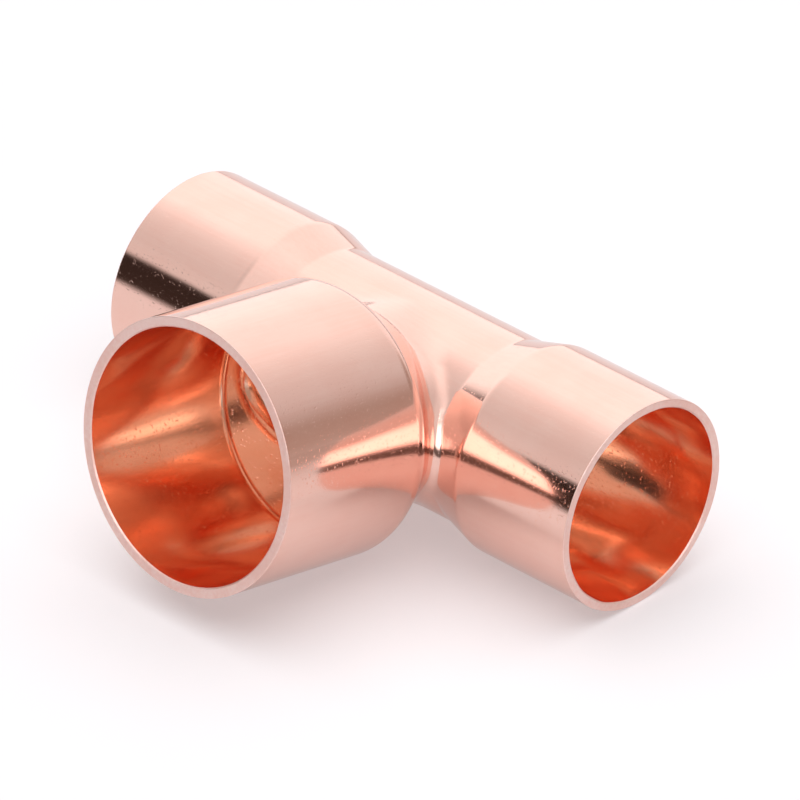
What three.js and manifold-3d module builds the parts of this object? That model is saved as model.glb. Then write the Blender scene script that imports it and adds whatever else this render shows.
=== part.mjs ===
// Reducing copper tee for capillary soldering: 22 mm tube on both ends of the run, 28 mm tube on the branch.
// Millimetres, +Z up. The run lies along X, the branch points to -Y, and z = 0 is the plane of both axes.
// The fitting is formed from one length of tube. Its wall is divided here into the zones that the forming
// leaves, and the zones meet face to face on flat planes: a barrel, a neck, three shoulders, three sockets.
import * as THREE from "three";
import { mergeVertices } from "three/addons/utils/BufferGeometryUtils.js";
import Module from "manifold-3d";

// Sockets: the bore takes the tube end, and the reach is from the crossing of the axes to the rim.
// The shoulder, which is also the tube stop inside, starts at the distance shoulderAt from the same crossing.
const RUN = { bore: 22.1, wall: 1.0, reach: 33.8, shoulderAt: 18.4 };
const BRANCH = { bore: 28.1, wall: 1.15, reach: 34.6, shoulderAt: 15.2 };
// The plain tube between the run sockets, and the collar that is pulled out of it towards the branch.
const BARREL = { outside: 21.5, shoulderEnd: 13.2 };
const NECK = { outside: 21.2, shoulderEnd: 7.2 };
// Every shoulder is a cone with a bend at each end, of this radius in the middle of the wall.
const BEND = 2.3;
const RIM_CHAMFER = 0.15;
// Flat planes between the zones: across the run at both ends of the barrel, then two across the branch.
const BARREL_PLANE = 14.2;
const NECK_PLANE = 8;
const BRANCH_SHOULDER_PLANE = 12.2;
const BORE_OVERRUN = 2;
// Each arm's solid and bore run this far past the crossing of the axes, into the arm opposite.
const PAST_CROSSING = 1;
const SEGMENTS = 64;
const ARC_STEPS = 3;

const COPPER = { color: 0xeda48a, roughness: 0.16, metalness: 1 };

const wasm = await Module();
wasm.setup();

function solidOf(geometry) {
  const bare = geometry.index ? geometry.toNonIndexed() : geometry.clone();
  bare.deleteAttribute("normal");
  bare.deleteAttribute("uv");
  const merged = mergeVertices(bare, 1e-4);
  const numProp = 3;
  const vertProperties = merged.attributes.position.array;
  const triVerts = new Uint32Array(merged.index.array);
  return new wasm.Manifold(new wasm.Mesh({ numProp, vertProperties, triVerts }));
}

function geometryOf(solid) {
  const mesh = solid.getMesh();
  const geometry = new THREE.BufferGeometry();
  geometry.setAttribute("position", new THREE.BufferAttribute(mesh.vertProperties, 3));
  geometry.setIndex(new THREE.BufferAttribute(mesh.triVerts, 1));
  geometry.computeVertexNormals();
  return geometry;
}

// The shoulder's two bends, with the straight cone between them. The bends' centres are shared by both faces
// of the wall, so offset moves the curve from the middle of the wall to its outer face (+) or its inner face (-).
// Points run from the socket, at distance `from` along the axis, to the smaller tube.
function shoulder(socketRadius, tubeRadius, from, length, offset) {
  const rise = 2 * BEND - socketRadius + tubeRadius;
  const angle = Math.atan2(length, rise) - Math.acos((2 * BEND) / Math.hypot(length, rise));
  const points = [];
  for (let i = 0; i <= ARC_STEPS; i++) {
    const turn = (angle * i) / ARC_STEPS;
    const arc = BEND + offset;
    points.push([socketRadius - BEND + arc * Math.cos(turn), from - arc * Math.sin(turn)]);
  }
  for (let i = ARC_STEPS; i >= 0; i--) {
    const turn = (angle * i) / ARC_STEPS;
    const arc = BEND - offset;
    points.push([tubeRadius + BEND - arc * Math.cos(turn), from - length + arc * Math.sin(turn)]);
  }
  return points;
}

// The shoulder of one arm, from the tube out to the socket: the wall's outer face for side 1, its inner for -1.
function armShoulder(socket, tube, length, side) {
  const socketMiddle = (socket.bore + socket.wall) / 2;
  const tubeMiddle = (tube.outside - socket.wall) / 2;
  const offset = (side * socket.wall) / 2;
  return shoulder(socketMiddle, tubeMiddle, socket.shoulderAt, length, offset).reverse();
}

function lathe(profile) {
  const points = profile.map(([radius, along]) => new THREE.Vector2(radius, along));
  return new THREE.LatheGeometry(points, SEGMENTS);
}

// An arm filled solid: from just past the crossing of the axes, over its shoulder, to its rim.
function outerArm(socket, tube, shoulderLength) {
  const rim = socket.bore / 2 + socket.wall;
  return [
    [0, -PAST_CROSSING],
    [tube.outside / 2, -PAST_CROSSING],
    ...armShoulder(socket, tube, shoulderLength, 1),
    [rim, socket.reach],
    [0, socket.reach],
  ];
}

// The hollow of the same arm, which runs out past the rim through a small chamfer.
function innerArm(socket, tube, shoulderLength) {
  const bore = socket.bore / 2;
  const mouth = socket.reach + BORE_OVERRUN;
  return [
    [0, -PAST_CROSSING],
    [tube.outside / 2 - socket.wall, -PAST_CROSSING],
    ...armShoulder(socket, tube, shoulderLength, -1),
    [bore, socket.reach - RIM_CHAMFER],
    [bore + RIM_CHAMFER, socket.reach],
    [bore + RIM_CHAMFER, mouth],
    [0, mouth],
  ];
}

// The lathe turns round Y. The branch keeps that axis and points down it; the run turns onto X.
function branchSolid(profile) {
  return solidOf(lathe(profile).rotateX(Math.PI));
}

function runSolid(profile) {
  const right = solidOf(lathe(profile).rotateZ(-Math.PI / 2));
  const left = solidOf(lathe(profile).rotateZ(Math.PI / 2));
  return right.add(left);
}

function wholeWall() {
  const runShoulder = RUN.shoulderAt - BARREL.shoulderEnd;
  const branchShoulder = BRANCH.shoulderAt - NECK.shoulderEnd;
  const outside = runSolid(outerArm(RUN, BARREL, runShoulder)).add(
    branchSolid(outerArm(BRANCH, NECK, branchShoulder)),
  );
  const inside = runSolid(innerArm(RUN, BARREL, runShoulder)).add(
    branchSolid(innerArm(BRANCH, NECK, branchShoulder)),
  );
  return outside.subtract(inside);
}

// A box between two corners, as the region that one zone fills.
function region(low, high) {
  const size = high.map((value, axis) => value - low[axis]);
  const middle = high.map((value, axis) => (value + low[axis]) / 2);
  return solidOf(new THREE.BoxGeometry(...size).translate(...middle));
}

function zones() {
  const far = 40;
  const socketEnd = RUN.shoulderAt;
  const barrelEnd = BARREL_PLANE;
  const front = -BRANCH_SHOULDER_PLANE;
  return {
    left_socket: region([-far, front, -far], [-socketEnd, far, far]),
    left_shoulder: region([-socketEnd, front, -far], [-barrelEnd, far, far]),
    run_barrel: region([-barrelEnd, -NECK_PLANE, -far], [barrelEnd, far, far]),
    right_shoulder: region([barrelEnd, front, -far], [socketEnd, far, far]),
    right_socket: region([socketEnd, front, -far], [far, far, far]),
    branch_neck: region([-barrelEnd, front, -far], [barrelEnd, -NECK_PLANE, far]),
    branch_shoulder: region([-far, -BRANCH.shoulderAt, -far], [far, front, far]),
    branch_socket: region([-far, -far, -far], [far, -BRANCH.shoulderAt, far]),
  };
}

// The part's origin is the centre of its box, so the crossing of the axes lies behind it.
function crossingOfAxes() {
  const back = RUN.bore / 2 + RUN.wall;
  return (BRANCH.reach - back) / 2;
}

function tee() {
  const group = new THREE.Group();
  group.position.y = crossingOfAxes();
  const wall = wholeWall();
  for (const [name, zone] of Object.entries(zones())) {
    const mesh = new THREE.Mesh(geometryOf(wall.intersect(zone)), new THREE.MeshStandardMaterial(COPPER));
    mesh.name = name;
    group.add(mesh);
  }
  return group;
}

export default tee();
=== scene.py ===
"""Looks of a reducing copper tee: the formed wall, its bare metal, and a pale studio with dark flags."""

import math

import bmesh
import bpy
import numpy as np
from mathutils import Matrix, Vector

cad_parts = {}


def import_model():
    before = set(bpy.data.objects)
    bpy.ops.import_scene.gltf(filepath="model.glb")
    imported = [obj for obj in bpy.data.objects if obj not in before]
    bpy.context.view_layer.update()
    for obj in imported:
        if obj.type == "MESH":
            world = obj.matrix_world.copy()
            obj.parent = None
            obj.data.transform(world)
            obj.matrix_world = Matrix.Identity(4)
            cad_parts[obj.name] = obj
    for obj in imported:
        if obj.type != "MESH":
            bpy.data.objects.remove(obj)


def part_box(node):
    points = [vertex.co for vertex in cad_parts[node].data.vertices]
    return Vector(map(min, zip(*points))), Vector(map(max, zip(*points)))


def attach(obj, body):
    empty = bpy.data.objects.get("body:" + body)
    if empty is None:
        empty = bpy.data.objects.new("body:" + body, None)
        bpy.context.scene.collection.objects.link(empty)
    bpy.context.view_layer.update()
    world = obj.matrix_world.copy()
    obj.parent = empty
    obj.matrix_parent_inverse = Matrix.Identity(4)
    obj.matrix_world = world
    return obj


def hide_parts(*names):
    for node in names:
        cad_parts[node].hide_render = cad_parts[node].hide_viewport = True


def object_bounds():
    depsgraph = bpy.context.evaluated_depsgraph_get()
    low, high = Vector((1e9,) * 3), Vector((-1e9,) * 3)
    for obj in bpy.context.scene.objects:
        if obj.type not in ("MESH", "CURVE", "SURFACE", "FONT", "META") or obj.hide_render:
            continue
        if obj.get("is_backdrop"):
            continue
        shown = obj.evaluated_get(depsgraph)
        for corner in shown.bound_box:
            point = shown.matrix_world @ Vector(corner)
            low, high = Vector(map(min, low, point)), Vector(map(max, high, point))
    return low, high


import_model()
CAD_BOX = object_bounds()

MM = 0.001


def box_mm(node):
    low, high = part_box(node)
    return np.array(low) / MM, np.array(high) / MM


# Sizes in millimetres, read from the CAD nodes. The shapes below are made round the crossing of the axes.
SOCKET_LOW, SOCKET_HIGH = box_mm("right_socket")
BRANCH_LOW, BRANCH_HIGH = box_mm("branch_socket")
CROSSING = np.array([0.0, SOCKET_HIGH[1] - SOCKET_HIGH[2], 0.0])
RUN_REACH, RUN_START, RUN_OUTSIDE = SOCKET_HIGH[0], SOCKET_LOW[0], SOCKET_HIGH[2]
BARREL_PLANE = box_mm("right_shoulder")[0][0]
BRANCH_REACH, BRANCH_START = CROSSING[1] - BRANCH_LOW[1], CROSSING[1] - BRANCH_HIGH[1]
BRANCH_OUTSIDE = BRANCH_HIGH[2]
FRONT_PLANE = CROSSING[1] - box_mm("branch_shoulder")[1][1]
NECK_PLANE = CROSSING[1] - box_mm("branch_neck")[1][1]
# Outer radii of the tubes behind the shoulders, and the shoulders' lengths along their arms.
BARREL_OUTSIDE, NECK_OUTSIDE = 10.75, 10.6
RUN_SHOULDER, BRANCH_SHOULDER = 5.2, 8.0
RUN_WALL, BRANCH_WALL = 1.0, 1.15
# The radius of a shoulder's bends in the middle of the wall.
BEND = 2.3
# The fillet between the arms: its radius where their faces are square to each other, and how much it grows to
# where they lie level. Past the last level, as a cosine, the faces count as one.
FILLET, FILLET_GROWTH = 3.0, 5.0
MOST_LEVEL = 0.9995
# The rounding outside each rim and the chamfer inside it.
EDGE = 0.12
LIP = 0.15
# How far the metal's unevenness stands out: the outside's swell and dents, and the ripples in the bores.
SWELL_HEIGHT, DENT_HEIGHT = 0.006, 0.0012
RUN_RIPPLE_HEIGHT, BRANCH_RIPPLE_HEIGHT = 0.022, 0.012
RIPPLE_CHANGE_AT, RIPPLE_CHANGE_WIDTH = 13, 0.8

# The meshes' fineness, and the length under which a cut's edges are merged.
AROUND = 432
SIXTH = AROUND // 6
NECK_ROWS, FILLET_ROWS, RUN_ROWS = 46, 12, 60
SOCKET_ROWS, BRANCH_SOCKET_ROWS, BORE_ROWS = 22, 26, 40
SMALLEST_EDGE = 0.0005
# The part of the contact distance that the plain rows keep to, so that they end just inside the fillet.
CONTACT = 0.98

# What each face of a mesh is, and the material slot that it takes.
OUTER, INNER, ROUNDED, RIM, CHAMFER, CUT = range(6)
MATERIAL_OF = [0, 1, 2, 2, 2, 1]


# ---------------------------------------------------------------- the formed wall as two smooth fields


def joined(a, b, level, radius):
    """The union of two fields with a fillet in the corner. level is the cosine between the faces."""
    gap_a, gap_b = radius - a, radius - b
    spread = (gap_a**2 + gap_b**2 - 2 * level * gap_a * gap_b) / (1 - level**2)
    in_corner = (gap_a > level * gap_b) & (gap_b > level * gap_a)
    return np.where(in_corner, radius - np.sqrt(np.maximum(spread, 0)), np.minimum(a, b))


class Arm:
    """One arm: a socket, a conical shoulder with a bend at each end, and the smaller tube behind it."""

    def __init__(self, axis, outside, tube_outside, wall, start, length, reach):
        self.axis, self.wall, self.reach = axis, wall, reach
        self.socket, self.tube = outside - wall / 2, tube_outside - wall / 2
        self.start, self.length = start, length
        rise = 2 * BEND - self.socket + self.tube
        self.angle = math.atan2(length, rise) - math.acos(2 * BEND / math.hypot(length, rise))

    def field(self, radius, along, side):
        """Distance to the wall's outer face (side 1) or inner face (side -1), positive away from the axis."""
        offset = side * self.wall / 2
        level, tilt = math.cos(self.angle), math.sin(self.angle)
        cone = (self.start - along) * tilt + (radius - self.socket + BEND) * level - BEND - offset
        over = -joined(offset + self.socket - radius, -cone, level, BEND + offset)
        return joined(over, radius - self.tube - offset, level, BEND - offset)

    def profile(self, side):
        """Points (radius, along) on one face, from the socket's end of the shoulder back to the crossing."""
        offset = side * self.wall / 2
        turn = np.linspace(0, self.angle, 60)
        over, under = BEND + offset, BEND - offset
        first = np.stack([self.socket - BEND + over * np.cos(turn), self.start - over * np.sin(turn)])
        turn = turn[::-1]
        foot = self.start - self.length
        second = np.stack([self.tube + BEND - under * np.cos(turn), foot + under * np.sin(turn)])
        cone = np.linspace(first[:, -1], second[:, 0], 200, axis=1)
        tube = np.linspace((self.tube + offset, foot), (self.tube + offset, 0), 200, axis=1)
        return np.concatenate([first, cone[:, 1:-1], second, tube[:, 1:]], axis=1)

    def radius_at(self, along, side):
        radius, at = self.profile(side)
        return np.interp(along, at[::-1], radius[::-1])

    def turned(self, radius, along, sign, angle):
        """Points turned about the arm's axis. Rows follow radius and along, columns follow angle."""
        radius, along = np.asarray(radius)[:, None], np.asarray(along)[:, None]
        across, up = radius * np.cos(angle)[None], radius * np.sin(angle)[None]
        out = along + 0 * across
        if self.axis == 0:
            return np.stack([sign * out, -across, up], -1)
        return np.stack([across, -out, up], -1)


RUN = Arm(0, RUN_OUTSIDE, BARREL_OUTSIDE, RUN_WALL, RUN_START, RUN_SHOULDER, RUN_REACH)
BRANCH = Arm(1, BRANCH_OUTSIDE, NECK_OUTSIDE, BRANCH_WALL, BRANCH_START, BRANCH_SHOULDER, BRANCH_REACH)


class Waves:
    """Smooth unevenness in space: a sum of plane waves of about one wavelength, with a fixed seed."""

    def __init__(self, seed, wavelength, stretch=(1, 1, 1), count=14):
        rng = np.random.default_rng(seed)
        heading = rng.normal(size=(count, 3))
        heading /= np.linalg.norm(heading, axis=1)[:, None]
        lengths = wavelength * rng.uniform(0.7, 1.5, count)
        self.k = 2 * math.pi * heading / lengths[:, None] / np.array(stretch)
        self.phase = rng.uniform(0, 2 * math.pi, count)
        self.scale = math.sqrt(2 / count)

    def __call__(self, points):
        return self.scale * np.sin(points @ self.k.T + self.phase).sum(-1)


OUTER_SWELL = Waves(3, 14)
OUTER_DENTS = Waves(5, 5)
RUN_RIPPLE = Waves(11, 5.0, (1.6, 1, 1))
BRANCH_RIPPLE = Waves(17, 7.5, (1, 2.2, 1))


def parts(points, side):
    """The two arms' own fields, the cosine between their faces, and the radius of the fillet between them."""
    x, y, z = np.moveaxis(points, -1, 0)
    round_run, round_branch = np.hypot(y, z), np.hypot(x, z)
    run = RUN.field(round_run, np.abs(x), side)
    branch = np.maximum(BRANCH.field(round_branch, -y, side), y)
    level = np.minimum(z * z / np.maximum(round_run * round_branch, 1e-6), MOST_LEVEL)
    radius = FILLET + FILLET_GROWTH * level + (0 if side > 0 else RUN_WALL)
    return run, branch, level, radius


def wall_field(points, side):
    """Outer (1) or inner (-1) face of the whole wall, with the fillet and the metal's unevenness."""
    field = joined(*parts(points, side))
    if side > 0:
        return field - SWELL_HEIGHT * OUTER_SWELL(points) - DENT_HEIGHT * OUTER_DENTS(points)
    in_branch = 1 / (1 + np.exp((points[..., 1] + RIPPLE_CHANGE_AT) / RIPPLE_CHANGE_WIDTH))
    run_ripple = RUN_RIPPLE_HEIGHT * RUN_RIPPLE(points) * (1 - in_branch)
    return field - run_ripple - BRANCH_RIPPLE_HEIGHT * BRANCH_RIPPLE(points) * in_branch


def slope(points, side, step=0.004):
    sides = []
    for axis in range(3):
        shift = np.zeros(3)
        shift[axis] = step
        sides.append((wall_field(points + shift, side) - wall_field(points - shift, side)) / (2 * step))
    return np.stack(sides, -1)


def settled(points, side, rounds=6):
    """Moves points onto a face of the wall."""
    for _ in range(rounds):
        gradient = slope(points, side)
        size = np.maximum((gradient**2).sum(-1), 0.25)
        points = points - (wall_field(points, side) / size)[..., None] * gradient
    return points


def unit(vectors):
    return vectors / np.maximum(np.linalg.norm(vectors, axis=-1, keepdims=True), 1e-12)


# ---------------------------------------------------------------- meshes


def strip(first, second, closed=True):
    """Quads between two rows of vertex numbers."""
    count = len(first)
    last = count if closed else count - 1
    return [(first[i], first[(i + 1) % count], second[(i + 1) % count], second[i]) for i in range(last)]


def face_out(points, faces, towards):
    """Turns a list of faces round when its first face looks away from a direction."""
    a, b, c = (points[faces[0][i]] for i in range(3))
    if float(np.dot(np.cross(b - a, c - b), towards)) < 0:
        return [tuple(reversed(face)) for face in faces]
    return faces


def piece(name, points, faces, tags, arm=None):
    """A closed mesh with the wall's true normals at its corners, standing for the CAD node of its name."""
    mesh = bpy.data.meshes.new(name)
    mesh.from_pydata(((points + CROSSING) * MM).tolist(), [], faces)
    tags = np.array(tags)
    mesh.polygons.foreach_set("material_index", np.array(MATERIAL_OF)[tags])
    mesh.polygons.foreach_set("use_smooth", np.ones(len(faces), dtype=bool))
    for material in (OUTSIDE, INSIDE, RIM_METAL):
        mesh.materials.append(material)
    mesh.update()
    corner = np.zeros(len(mesh.loops), dtype=np.int32)
    mesh.loops.foreach_get("vertex_index", corner)
    flat = np.zeros(len(faces) * 3)
    mesh.polygons.foreach_get("normal", flat)
    totals = np.array([len(face) for face in faces])
    corner_tag = np.repeat(tags, totals)
    normals = np.repeat(flat.reshape(-1, 3), totals, axis=0)
    for tag, side in ((OUTER, 1), (INNER, -1)):
        chosen = corner_tag == tag
        normals[chosen] = side * unit(slope(points[corner[chosen]], side))
    if arm:
        chosen = corner_tag == ROUNDED
        normals[chosen] = rounded_normals(points[corner[chosen]], arm)
    mesh.normals_split_custom_set(normals.tolist())
    made = bpy.data.objects.new(name, mesh)
    bpy.context.scene.collection.objects.link(made)
    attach(made, "root")
    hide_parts(name)


def rounded_normals(points, arm):
    """Normals of the small rounding between a socket's outside and its rim."""
    axis = np.zeros(3)
    axis[arm.axis] = 1
    along = points @ axis
    out = unit(points - along[:, None] * axis)
    rise = np.clip((np.abs(along) - (arm.reach - EDGE)) / EDGE, 0, 1)
    return out * np.sqrt(1 - rise**2)[:, None] + np.sign(along)[:, None] * axis * rise[:, None]


def socket(name, arm, sign, outer_steps):
    """One socket as a ring: the outside, the rounded rim, the inner chamfer, the bore and the flat end."""
    angle = np.linspace(0, 2 * math.pi, AROUND, endpoint=False)
    half = arm.wall / 2
    along = np.linspace(arm.start, arm.reach - EDGE, outer_steps + 1)
    outer = settled(arm.turned(np.full(len(along), arm.socket + half), along, sign, angle), 1)
    along = np.linspace(arm.reach - LIP, arm.start, BORE_ROWS + 1)
    inner = settled(arm.turned(np.full(len(along), arm.socket - half), along, sign, angle), -1)
    axis = np.zeros(3)
    axis[arm.axis] = sign if arm.axis == 0 else -1
    out = unit(outer[-1] - (outer[-1] @ axis)[:, None] * axis)
    rows = [outer]
    tags = [OUTER] * outer_steps
    for turn in np.radians([15, 30, 45, 60, 75, 90]):
        rows.append((outer[-1] - EDGE * (1 - math.cos(turn)) * out + EDGE * math.sin(turn) * axis)[None])
        tags.append(ROUNDED)
    rows.append((inner[0] + LIP * out + LIP * axis)[None])
    tags.append(RIM)
    rows.append(inner)
    tags += [CHAMFER] + [INNER] * BORE_ROWS + [CUT]
    grid = np.concatenate(rows)
    points = grid.reshape(-1, 3)
    index = np.arange(len(points)).reshape(grid.shape[:2])
    faces, face_tags = [], []
    for row, tag in enumerate(tags):
        faces += strip(index[row], index[(row + 1) % len(grid)])
        face_tags += [tag] * AROUND
    faces = face_out(points, faces, slope(points[:1], 1)[0])
    piece(name, points, faces, face_tags, arm)


def spaced(path, rows, weights=None):
    """A path cut into equal steps, or finer steps where the weights are higher."""
    step = np.linalg.norm(np.diff(path, axis=0), axis=1)
    if weights is not None:
        step = step * (weights[1:] + weights[:-1]) / 2
    gone = np.concatenate([[0], np.cumsum(step)])
    at = np.linspace(0, gone[-1], rows + 1)
    return np.stack([np.interp(at, gone, path[:, axis]) for axis in range(3)], -1)


def run_border():
    """Where each column of the middle's grid ends: on the two socket ends, or along the back of the run."""
    column = np.arange(AROUND)
    turn = (column + AROUND // 2) % AROUND - AROUND // 2
    x, phi = np.zeros(AROUND), np.zeros(AROUND)
    for i, t in enumerate(turn):
        upper, size = math.copysign(1, t), abs(t)
        if size <= SIXTH:
            x[i], phi[i] = RUN.start, math.pi * t / SIXTH
        elif size >= 2 * SIXTH:
            x[i], phi[i] = -RUN.start, upper * math.pi * (3 * SIXTH - size) / SIXTH
        else:
            u = (1.5 * SIXTH - size) / (0.5 * SIXTH)
            x[i], phi[i] = RUN.start * (0.45 * u + 0.55 * math.sin(u * math.pi / 2)), upper * math.pi
    return x, phi


def middle_grid(side):
    """One face of the wall between the sockets. Columns go round the branch's axis, and rows run from the
    branch socket over its shoulder and down the neck, then over the run to its socket ends and its back."""
    radius, along = BRANCH.profile(side)
    end_x, end_phi = run_border()
    columns = []
    for i in range(AROUND):
        theta = 2 * math.pi * i / AROUND
        neck = BRANCH.turned(radius, along, 1, np.array([theta]))[:, 0]
        run, _, level, fillet = parts(neck, side)
        meets = int(np.argmax(run < 0))
        leaves = int(np.argmax(run < CONTACT * fillet * (1 - level)))
        x0, phi0 = neck[meets, 0], math.atan2(neck[meets, 2], -neck[meets, 1])
        t = np.linspace(0, 1, 400)
        x, phi = x0 + (end_x[i] - x0) * t, phi0 + (end_phi[i] - phi0) * t
        round_run = RUN.radius_at(np.abs(x), side)
        back = np.stack([x, -round_run * np.cos(phi), round_run * np.sin(phi)], -1)
        _, branch, level, fillet = parts(back, side)
        near = np.nonzero(branch < CONTACT * fillet * (1 - level))[0]
        lands = int(near[-1]) + 1 if len(near) else 1
        neck, back = neck[: leaves + 1], back[lands:]
        curved = np.where(-neck[:, 1] > BRANCH.start - BRANCH.length, 3.0, 1.0)
        columns.append(np.concatenate([
            spaced(neck, NECK_ROWS, curved),
            spaced(np.stack([neck[-1], back[0]]), FILLET_ROWS)[1:],
            spaced(back, RUN_ROWS)[1:],
        ]))
    grid = settled(np.stack(columns, 1), side)
    grid[0, :, 1] = -BRANCH.start
    ends = np.arange(-SIXTH, SIXTH + 1)
    grid[-1, ends, 0] = RUN.start
    grid[-1, ends + 3 * SIXTH, 0] = -RUN.start
    return grid


def middle():
    """The whole closed wall between the three sockets, as points, faces and tags."""
    grids = [middle_grid(1), middle_grid(-1)]
    rows = len(grids[0])
    points = np.concatenate([grid.reshape(-1, 3) for grid in grids])
    index = np.arange(len(points)).reshape(2, rows, AROUND)
    below = np.arange(4 * SIXTH, 5 * SIXTH + 1)
    index[:, -1, below] = index[:, -1, AROUND - below]
    faces, tags = [], []
    for layer, side in ((0, 1), (1, -1)):
        found = []
        for row in range(rows - 1):
            found += strip(index[layer, row], index[layer, row + 1])
        found = face_out(points, found, side * slope(points[index[layer, :1, 0]], side)[0])
        faces += found
        tags += [OUTER if side > 0 else INNER] * len(found)
    right = np.arange(-SIXTH, SIXTH) % AROUND
    front_end = (np.arange(AROUND), 0, (0, -1, 0))
    run_ends = (right, -1, (1, 0, 0)), (right + 3 * SIXTH, -1, (-1, 0, 0))
    for ring, row, towards in (front_end, *run_ends):
        ring = ring % AROUND
        found = strip(index[0, row, ring], index[1, row, ring])
        faces += face_out(points, found, np.array(towards))
        tags += [CUT] * len(found)
    return points, faces, tags


def zone(name, whole, planes):
    """Cuts one zone out of the whole wall. Each plane is a point and the direction that is cut away."""
    points, faces, tags = whole
    bm = bmesh.new()
    layer = bm.faces.layers.int.new("tag")
    verts = [bm.verts.new(point) for point in points]
    for face, tag in zip(faces, tags):
        made = bm.faces.new([verts[i] for i in face])
        made[layer] = tag
    bmesh.ops.delete(bm, geom=[v for v in bm.verts if not v.link_faces], context="VERTS")
    for at, away in planes:
        geometry = bm.verts[:] + bm.edges[:] + bm.faces[:]
        bmesh.ops.bisect_plane(
            bm, geom=geometry, dist=1e-5, plane_co=at, plane_no=away, clear_outer=True, clear_inner=False
        )
        bmesh.ops.remove_doubles(bm, verts=[v for v in bm.verts if v.is_boundary], dist=SMALLEST_EDGE)
        border = [edge for edge in bm.edges if edge.is_boundary]
        filled = bmesh.ops.triangle_fill(bm, use_beauty=True, edges=border, normal=away)
        for face in filled["geom"]:
            if isinstance(face, bmesh.types.BMFace):
                face[layer] = CUT
    bmesh.ops.delete(bm, geom=[edge for edge in bm.edges if edge.is_wire], context="EDGES")
    bmesh.ops.recalc_face_normals(bm, faces=bm.faces[:])
    bm.verts.index_update()
    found = np.array([vert.co[:] for vert in bm.verts])
    result = [tuple(v.index for v in face.verts) for face in bm.faces]
    found_tags = [face[layer] for face in bm.faces]
    bm.free()
    piece(name, found, result, found_tags)


# ---------------------------------------------------------------- node helpers


class Nodes:
    """A node tree, with a short way to add and link each kind of node."""

    def __init__(self, tree):
        self.tree = tree
        tree.nodes.clear()

    def add(self, kind, **settings):
        node = self.tree.nodes.new(kind)
        for key, value in settings.items():
            setattr(node, key, value)
        return node

    def link(self, source, target):
        self.tree.links.new(source, target)

    def feed(self, socket, value):
        """Links an output to a socket, or sets the socket's own value."""
        if isinstance(value, bpy.types.NodeSocket):
            self.link(value, socket)
        else:
            socket.default_value = value

    def math(self, operation, *values):
        node = self.add("ShaderNodeMath", operation=operation)
        for socket, value in zip(node.inputs, values):
            self.feed(socket, value)
        return node.outputs[0]

    def vector(self, operation, *values):
        node = self.add("ShaderNodeVectorMath", operation=operation)
        for socket, value in zip(node.inputs, values):
            self.feed(socket, value)
        return node.outputs["Value" if operation == "DOT_PRODUCT" else "Vector"]

    def remap(self, value, low, high, to_low=0.0, to_high=1.0, smooth=True):
        kind = "SMOOTHSTEP" if smooth else "LINEAR"
        node = self.add("ShaderNodeMapRange", interpolation_type=kind, clamp=True)
        for socket, given in zip(node.inputs, (value, low, high, to_low, to_high)):
            self.feed(socket, given)
        return node.outputs[0]

    def noise(self, vector, scale, detail=2.0, roughness=0.5):
        node = self.add("ShaderNodeTexNoise")
        self.feed(node.inputs["Vector"], vector)
        node.inputs["Scale"].default_value = scale
        node.inputs["Detail"].default_value = detail
        node.inputs["Roughness"].default_value = roughness
        return node.outputs[0]

    def mix(self, factor, a, b):
        node = self.add("ShaderNodeMix", data_type="RGBA")
        self.feed(node.inputs["Factor"], factor)
        first, second = (socket for socket in node.inputs if socket.type == "RGBA")
        self.feed(first, a)
        self.feed(second, b)
        return next(socket for socket in node.outputs if socket.type == "RGBA")

    def blend(self, factor, first, second, output):
        """Mixes two shaders, and joins the result to the material's or the world's output."""
        node = self.add("ShaderNodeMixShader")
        self.feed(node.inputs[0], factor)
        self.link(first.outputs[0], node.inputs[1])
        self.link(second.outputs[0], node.inputs[2])
        self.link(node.outputs[0], output.inputs["Surface"])

    def camera_ray(self):
        return self.add("ShaderNodeLightPath").outputs["Is Camera Ray"]


def rgb(r, g, b):
    return (r, g, b, 1.0)


def millimetres(nodes, stretch=(1, 1, 1)):
    coords = nodes.add("ShaderNodeTexCoord").outputs["Object"]
    node = nodes.add("ShaderNodeMapping")
    nodes.feed(node.inputs["Vector"], coords)
    node.inputs["Location"].default_value = tuple(-c * s for c, s in zip(CROSSING, stretch))
    node.inputs["Scale"].default_value = tuple(s / MM for s in stretch)
    return node.outputs[0]


# The metal's pattern. Each noise is its scale per millimetre, its detail and its roughness.
LINES = (2.2, 3.0, 0.6)
LINE_STRETCH = 0.05
CLOUDS = (0.16, 3.0, 0.55)
GRAIN = (9.0, 2.0, 0.6)
SPECKS = (3.2, 2.0, 0.5)
# Where the lines turn from the run's direction to the branch's, in millimetres along the branch.
LINES_TURN = (-10.0, -14.0)
# The part of the tone that is clouds, the part of the roughness that is lines, and the stretched ranges.
CLOUD_SHARE, LINE_SHARE = 0.65, 0.7
TONE_RANGE, ROUGH_RANGE, SPECK_RANGE = (0.35, 0.65), (0.3, 0.7), (0.62, 0.74)
# The depth of the small pits in the skin, as a multiple of the depth of its lines.
SPECK_DEPTH = -5.0


def share(nodes, first, second, amount):
    """One value by its share, and another for the rest."""
    rest = nodes.math("MULTIPLY", second, 1 - amount)
    return nodes.math("ADD", nodes.math("MULTIPLY", first, amount), rest)


def drawing_lines(nodes, plain):
    """Fine lines along the run, which turn along the branch past the neck."""
    spread = nodes.add("ShaderNodeSeparateXYZ")
    nodes.feed(spread.inputs[0], plain)
    on_branch = nodes.remap(spread.outputs["Y"], *LINES_TURN)
    along_run = nodes.noise(millimetres(nodes, (LINE_STRETCH, 1, 1)), *LINES)
    along_branch = nodes.noise(millimetres(nodes, (1, LINE_STRETCH, 1)), *LINES)
    on_run = nodes.math("SUBTRACT", 1.0, on_branch)
    return nodes.math(
        "ADD", nodes.math("MULTIPLY", along_run, on_run), nodes.math("MULTIPLY", along_branch, on_branch)
    )


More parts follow.
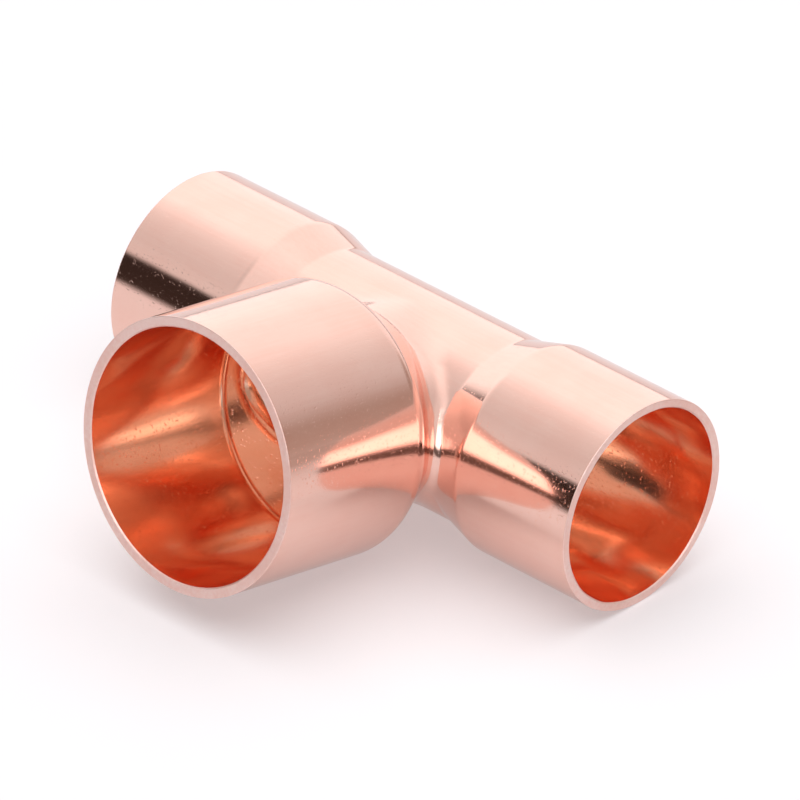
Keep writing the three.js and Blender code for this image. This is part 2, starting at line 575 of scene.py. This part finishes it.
def copper(name, pale, deep, rough_low, rough_high, line_depth):
    """Bare copper between two tones and two roughnesses, with drawing lines this deep in millimetres."""
    material = bpy.data.materials.new(name)
    material.use_nodes = True
    nodes = Nodes(material.node_tree)
    out = nodes.add("ShaderNodeOutputMaterial")
    shader = nodes.add("ShaderNodeBsdfPrincipled")
    nodes.link(shader.outputs[0], out.inputs["Surface"])
    shader.inputs["Metallic"].default_value = 1.0
    plain = millimetres(nodes)
    lines = drawing_lines(nodes, plain)
    tone = nodes.remap(share(nodes, nodes.noise(plain, *CLOUDS), lines, CLOUD_SHARE), *TONE_RANGE)
    nodes.feed(shader.inputs["Base Color"], nodes.mix(tone, rgb(*pale), rgb(*deep)))
    rough = share(nodes, lines, nodes.noise(plain, *GRAIN), LINE_SHARE)
    rough = nodes.remap(rough, *ROUGH_RANGE, rough_low, rough_high, smooth=False)
    nodes.feed(shader.inputs["Roughness"], rough)
    specks = nodes.remap(nodes.noise(plain, *SPECKS), *SPECK_RANGE)
    bump = nodes.add("ShaderNodeBump")
    bump.inputs["Distance"].default_value = line_depth * MM
    bump.inputs["Strength"].default_value = 1.0
    nodes.feed(bump.inputs["Height"], nodes.math("MULTIPLY_ADD", specks, SPECK_DEPTH, lines))
    nodes.link(bump.outputs[0], shader.inputs["Normal"])
    return material


OUTSIDE = copper("copper_outside", (0.965, 0.625, 0.53), (0.955, 0.59, 0.495), 0.07, 0.12, 0.0012)
INSIDE = copper("copper_inside", (0.93, 0.575, 0.43), (0.91, 0.53, 0.38), 0.12, 0.18, 0.002)
RIM_METAL = copper("copper_rim", (0.97, 0.72, 0.66), (0.93, 0.62, 0.55), 0.42, 0.58, 0.004)


# ---------------------------------------------------------------- the pieces


def tee():
    socket("right_socket", RUN, 1, SOCKET_ROWS)
    socket("left_socket", RUN, -1, SOCKET_ROWS)
    socket("branch_socket", BRANCH, 1, BRANCH_SOCKET_ROWS)
    whole = middle()
    front, neck = (0, -FRONT_PLANE, 0), (0, -NECK_PLANE, 0)
    right, left = (BARREL_PLANE, 0, 0), (-BARREL_PLANE, 0, 0)
    to_right, to_left, to_back, to_front = (1, 0, 0), (-1, 0, 0), (0, 1, 0), (0, -1, 0)
    zone("branch_shoulder", whole, [(front, to_back)])
    zone("right_shoulder", whole, [(front, to_front), (right, to_left)])
    zone("left_shoulder", whole, [(front, to_front), (left, to_right)])
    zone("branch_neck", whole, [(front, to_front), (right, to_right), (left, to_left), (neck, to_back)])
    zone("run_barrel", whole, [(right, to_right), (left, to_left), (neck, to_front)])


# ---------------------------------------------------------------- the studio


# The camera: its direction from the tee and its roll in degrees, its distance in millimetres, its focal
# length in sensor widths, and the point it looks at, from the crossing of the axes.
CAMERA_AZIMUTH, CAMERA_ELEVATION, CAMERA_ROLL = 40.344, 23.895, 8.193
CAMERA_DISTANCE = 1087.7
CAMERA_FOCAL = 12.68225
CAMERA_AIM = (-0.406, -1.140, -1.368)
SENSOR = 36

# The studio round the tee, by azimuth and elevation over the floor in degrees, as brightness.
SKY = 1.0
SKY_TINT = (1.0, 0.99, 0.995)
# Wide soft areas: azimuth, elevation, inner and outer angle, brightness added.
LOBES = [
    (140, 28, 12, 75, 0.30),
    (-142, 38, 14, 42, -0.24),
    (-158, 52, 8, 30, -0.10),
    (30, 30, 28, 62, -0.18),
    (84, 32, 20, 48, -0.14),
]
# Softboxes: azimuth, inner and outer half width, the elevations where one starts, is full, ends and is gone,
# and the brightness added.
SOFTBOXES = [
    (-48, 22, 44, (14, 25, 55, 72), 1.35),
]
# Dark flags: azimuth, half widths and elevations in the same way, and the share of the light that is left.
FLAGS = [
    (-128, 45, 58, (-4, 3.5, 22, 26.5), (0.045, 0.032, 0.027)),
    (-46, 40, 50, (-1, 2, 12, 20), (0.15, 0.135, 0.13)),
    (42, 30, 50, (-14, 5, 11, 27), (0.56, 0.46, 0.41)),
]
BACKDROP = (0.985, 0.97, 0.99)
# The sheet under the tee: half its width in metres, its gap below the metal in millimetres, and its pattern.
SHEET_HALF, SHEET_GAP = 3, 0.02
PAPER = (30.0, 3.0, 0.5)
# Its colour and glow as the metal mirrors it, and as the camera sees it. The glow is painted light that lifts
# the sheet's shadows, and the camera's copy is painted paler with more glow.
SHEET = [(0.55, 0.535, 0.55), (0.57, 0.555, 0.57)]
SHEET_GLOW = 0.29
SHEET_SEEN = [(0.66, 0.625, 0.64), (0.68, 0.645, 0.66)]
SHEET_LIFT = 0.36
GLOW_TINT = (1.0, 0.985, 1.0)
# Painted shade on the mirrored sheet: it dims along this azimuth, between two distances in millimetres, by
# this much at most, towards the colour below.
DIM_HEADING, DIM_FROM_TO, DIM_MOST = 42, (40, 230), 0.9
DIM_COLOUR = (0.46, 0.385, 0.345)
# The wide light over the sheet, in metres, and its radiance.
OVERHEAD_WIDTH, OVERHEAD_HEIGHT, OVERHEAD_RADIANCE = 1.8, 0.9, 2.05


def camera():
    azimuth, elevation, roll = np.radians([CAMERA_AZIMUTH, CAMERA_ELEVATION, CAMERA_ROLL])
    level = math.cos(elevation)
    back = np.array([math.sin(azimuth) * level, -math.cos(azimuth) * level, math.sin(elevation)])
    right = np.array([math.cos(azimuth), math.sin(azimuth), 0])
    up = np.cross(back, right)
    right, up = (
        math.cos(roll) * right + math.sin(roll) * up,
        -math.sin(roll) * right + math.cos(roll) * up,
    )
    data = bpy.data.cameras.new("camera")
    data.sensor_width, data.lens = SENSOR, CAMERA_FOCAL * SENSOR
    data.clip_start, data.clip_end = 0.05, 20
    made = bpy.data.objects.new("camera", data)
    turn = Matrix([right, up, back]).transposed().to_4x4()
    place = (CROSSING + CAMERA_AIM + back * CAMERA_DISTANCE) * MM
    made.matrix_world = Matrix.Translation(place) @ turn
    bpy.context.scene.collection.objects.link(made)
    bpy.context.scene.camera = made


def floor_tilt():
    """The tee rests on its two run sockets and on the rear edge of the wider branch socket."""
    hub, arc = BRANCH.socket - BEND, BEND + BRANCH.wall / 2
    size = math.hypot(BRANCH.start, hub)
    return math.asin((RUN_OUTSIDE - arc) / size) - math.atan2(hub, BRANCH.start)


TILT = floor_tilt()
FLOOR_UP = np.array([0, math.sin(TILT), math.cos(TILT)])
FLOOR_BACK = np.array([0, math.cos(TILT), -math.sin(TILT)])


def sheet_material():
    material = bpy.data.materials.new("white_sheet")
    material.use_nodes = True
    nodes = Nodes(material.node_tree)
    out = nodes.add("ShaderNodeOutputMaterial")
    shader = nodes.add("ShaderNodeBsdfPrincipled")
    coords = nodes.add("ShaderNodeTexCoord").outputs["Object"]
    paper = nodes.noise(coords, *PAPER)
    # For the camera the sheet is painted paler and given more glow, so that it shows white with a clear
    # shadow. The metal mirrors a softer, glowing sheet; the glow on both is painted light.
    seen = nodes.camera_ray()
    mirrored = nodes.mix(paper, rgb(*SHEET[0]), rgb(*SHEET[1]))
    viewed = nodes.mix(paper, rgb(*SHEET_SEEN[0]), rgb(*SHEET_SEEN[1]))
    nodes.feed(shader.inputs["Base Color"], nodes.mix(seen, mirrored, viewed))
    nodes.feed(shader.inputs["Emission Strength"], nodes.remap(seen, 0.0, 1.0, SHEET_GLOW, SHEET_LIFT))
    shader.inputs["Emission Color"].default_value = rgb(*GLOW_TINT)
    shader.inputs["Roughness"].default_value = 0.9
    shader.inputs["Specular IOR Level"].default_value = 0.1
    # Painted shade: towards the dark side of the studio the mirrored sheet dims with its distance into a flat
    # dark emission.
    across, behind, _ = heading(DIM_HEADING)
    dim_way = (np.array([across, 0, 0]) + behind * FLOOR_BACK) / MM
    distance = nodes.vector("DOT_PRODUCT", coords, tuple(dim_way))
    away = nodes.remap(distance, *DIM_FROM_TO, 0.0, DIM_MOST, smooth=False)
    painted_floor_shade = nodes.add("ShaderNodeEmission")
    painted_floor_shade.inputs["Color"].default_value = rgb(*DIM_COLOUR)
    nodes.blend(nodes.math("MULTIPLY", away, nodes.math("SUBTRACT", 1.0, seen)), shader, painted_floor_shade, out)
    return material


def floor():
    at = (CROSSING - (RUN_OUTSIDE + SHEET_GAP) * FLOOR_UP) * MM
    right = np.array([1.0, 0, 0])
    signs = ((-1, -1), (1, -1), (1, 1), (-1, 1))
    corners = [at + SHEET_HALF * (u * right + v * FLOOR_BACK) for u, v in signs]
    mesh = bpy.data.meshes.new("floor")
    mesh.from_pydata([tuple(corner) for corner in corners], [], [(0, 1, 2, 3)])
    mesh.materials.append(sheet_material())
    made = bpy.data.objects.new("floor", mesh)
    bpy.context.scene.collection.objects.link(made)
    made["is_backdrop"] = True


def overhead():
    """A wide soft light over the sheet. The metal mirrors only the studio, so it doesn't show there."""
    data = bpy.data.lights.new("overhead", "AREA")
    data.shape, data.size = "DISK", OVERHEAD_WIDTH
    data.energy = OVERHEAD_RADIANCE * math.pi * math.pi * (OVERHEAD_WIDTH / 2) ** 2
    made = bpy.data.objects.new("overhead", data)
    normal = Vector(FLOOR_UP)
    turn = normal.to_track_quat("Z", "Y").to_matrix().to_4x4()
    made.matrix_world = Matrix.Translation(normal * OVERHEAD_HEIGHT) @ turn
    made.visible_glossy = made.visible_camera = False
    bpy.context.scene.collection.objects.link(made)
    bpy.context.scene.world.cycles_visibility.diffuse = False


def heading(azimuth, elevation=0.0):
    """A direction over the floor, in degrees."""
    azimuth, elevation = math.radians(azimuth), math.radians(elevation)
    flat = math.cos(elevation)
    return (flat * math.cos(azimuth), flat * math.sin(azimuth), math.sin(elevation))


def cosine(degrees):
    return math.cos(math.radians(degrees))


def sine(degrees):
    return math.sin(math.radians(degrees))


def world():
    """The studio that the metal mirrors: an even sky with soft areas, a softbox and dark flags."""
    made = bpy.data.worlds.new("studio")
    bpy.context.scene.world = made
    made.use_nodes = True
    nodes = Nodes(made.node_tree)
    out = nodes.add("ShaderNodeOutputWorld")
    outward_ray = nodes.add("ShaderNodeTexCoord").outputs["Generated"]
    over_floor = nodes.add("ShaderNodeCombineXYZ")
    for part, axis in zip(over_floor.inputs, ((1, 0, 0), FLOOR_BACK, FLOOR_UP)):
        nodes.feed(part, nodes.vector("DOT_PRODUCT", outward_ray, tuple(axis)))
    direction = over_floor.outputs[0]
    flat = nodes.vector("NORMALIZE", nodes.vector("MULTIPLY", direction, (1, 1, 0)))
    spread = nodes.add("ShaderNodeSeparateXYZ")
    nodes.feed(spread.inputs[0], direction)
    up = spread.outputs["Z"]

    def panel(azimuth, inner, outer, heights):
        towards = nodes.vector("DOT_PRODUCT", flat, heading(azimuth))
        across = nodes.remap(towards, cosine(outer), cosine(inner))
        rise = nodes.remap(up, sine(heights[0]), sine(heights[1]))
        fall = nodes.remap(up, sine(heights[3]), sine(heights[2]))
        return nodes.math("MULTIPLY", across, nodes.math("MULTIPLY", rise, fall))

    light = SKY
    for azimuth, elevation, inner, outer, amount in LOBES:
        near = nodes.vector("DOT_PRODUCT", direction, heading(azimuth, elevation))
        light = nodes.math("ADD", light, nodes.remap(near, cosine(outer), cosine(inner), 0.0, amount))
    for azimuth, inner, outer, heights, amount in SOFTBOXES:
        glow = nodes.math("MULTIPLY", panel(azimuth, inner, outer, heights), amount)
        light = nodes.math("ADD", light, glow)
    tint = rgb(*SKY_TINT)
    for azimuth, inner, outer, heights, kept in FLAGS:
        tint = nodes.mix(panel(azimuth, inner, outer, heights), tint, rgb(*kept))
    studio = nodes.add("ShaderNodeBackground")
    nodes.feed(studio.inputs["Color"], tint)
    nodes.feed(studio.inputs["Strength"], light)
    backdrop = nodes.add("ShaderNodeBackground")
    backdrop.inputs["Color"].default_value = rgb(*BACKDROP)
    nodes.blend(nodes.camera_ray(), studio, backdrop, out)


tee()
camera()
floor()
world()
overhead()

scene = bpy.context.scene
scene.cycles.max_bounces = 24
scene.cycles.glossy_bounces = 20
scene.view_settings.view_transform = "Standard"
scene.view_settings.look = "None"

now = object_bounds()
plain = lambda corners: [[float(c) for c in corner] for corner in corners]
{"cad": plain(CAD_BOX), "visual": plain(now)}
